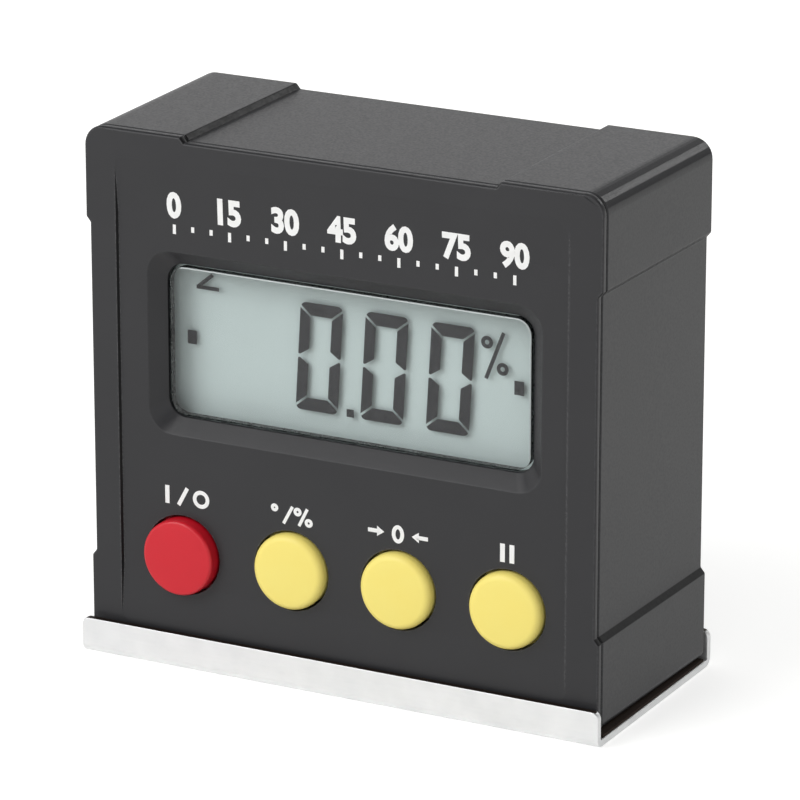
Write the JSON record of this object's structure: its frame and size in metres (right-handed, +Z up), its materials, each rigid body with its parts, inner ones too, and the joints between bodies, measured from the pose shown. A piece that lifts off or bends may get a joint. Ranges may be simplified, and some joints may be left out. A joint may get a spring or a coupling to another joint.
{
  "type": "digital inclinometer",
  "caption": "Box-shaped digital angle gauge: sunk display over a row of push buttons, magnets in a bent steel base channel, and a battery cover that swings open at the back.",
  "frame": {"origin": "on the surface that the gauge stands on, under the middle of the base channel", "axes": "+Z up, the display and buttons face -Y, +X to the right as the display is read"},
  "size_m": [0.0612, 0.0278, 0.0584],
  "materials": {
    "case_plastic": "fine spark-eroded black ABS",
    "lens_plastic": "clear polished acrylic",
    "foam_tape": "black adhesive foam",
    "display_glass": "clear cell glass, grey-green",
    "reflector_film": "silvered matt film",
    "white_plastic": "moulded, smooth",
    "elastomer": "soft, matt",
    "board_laminate": "green solder mask",
    "red_button": "moulded, semi-gloss",
    "yellow_button": "moulded, semi-gloss",
    "switch_plastic": "moulded, smooth",
    "epoxy": "cast, glossy",
    "sensor_package": "matt",
    "capacitor_sleeve": "blue sleeve",
    "screw_steel": "zinc plated",
    "spring_steel": "nickel plated",
    "cell_can": "plain sleeve, satin",
    "channel_steel": "bright plated, smooth",
    "magnet": "ground, dark"
  },
  "bodies": {
    "gauge": {"front_cover": "case_plastic", "rear_housing": "case_plastic", "display_lens": "lens_plastic", "lens_tape": "foam_tape", "adhesive_pad": "foam_tape", "lcd_front_glass": "display_glass", "lcd_rear_glass": "display_glass", "lcd_reflector": "reflector_film", "lcd_frame": "white_plastic", "zebra_strip_upper": "elastomer", "zebra_strip_lower": "elastomer", "main_board": "board_laminate", "power_switch_body": "switch_plastic", "unit_switch_body": "switch_plastic", "zero_switch_body": "switch_plastic", "hold_switch_body": "switch_plastic", "processor": "epoxy", "tilt_sensor": "sensor_package", "timing_crystal": "screw_steel", "filter_capacitor": "capacitor_sleeve", "case_screw_1": "screw_steel", "case_screw_2": "screw_steel", "case_screw_3": "screw_steel", "case_screw_4": "screw_steel", "board_screw_1": "screw_steel", "board_screw_2": "screw_steel", "board_screw_3": "screw_steel", "board_screw_4": "screw_steel", "battery_lower": "cell_can", "battery_upper": "cell_can", "battery_spring_lower": "spring_steel", "battery_spring_upper": "spring_steel", "positive_contact": "spring_steel", "negative_contact": "spring_steel", "link_contact": "spring_steel", "base_channel": "channel_steel", "magnet_left": "magnet", "magnet_right": "magnet"},
    "battery_door": {"battery_cover": "case_plastic"},
    "power_key": {"power_button": "red_button", "power_switch_plunger": "switch_plastic"},
    "unit_key": {"unit_button": "yellow_button", "unit_switch_plunger": "switch_plastic"},
    "zero_key": {"zero_button": "yellow_button", "zero_switch_plunger": "switch_plastic"},
    "hold_key": {"hold_button": "yellow_button", "hold_switch_plunger": "switch_plastic"}
  },
  "joints": [
    {"name": "battery_cover_swing", "type": "hinge", "parent": "gauge", "child": "battery_door", "pos_m": [0, 0.01265, 0.01765], "axis": [-1, 0, 0], "range_deg": [0, 75]},
    {"name": "power_press", "type": "slide", "parent": "gauge", "child": "power_key", "axis": [0, 1, 0], "range_m": [0, 0.0004], "stiffness_N_per_m": 3500, "springref_m": -0.0001},
    {"name": "unit_press", "type": "slide", "parent": "gauge", "child": "unit_key", "axis": [0, 1, 0], "range_m": [0, 0.0004], "stiffness_N_per_m": 3500, "springref_m": -0.0001},
    {"name": "zero_press", "type": "slide", "parent": "gauge", "child": "zero_key", "axis": [0, 1, 0], "range_m": [0, 0.0004], "stiffness_N_per_m": 3500, "springref_m": -0.0001},
    {"name": "hold_press", "type": "slide", "parent": "gauge", "child": "hold_key", "axis": [0, 1, 0], "range_m": [0, 0.0004], "stiffness_N_per_m": 3500, "springref_m": -0.0001}
  ]
}
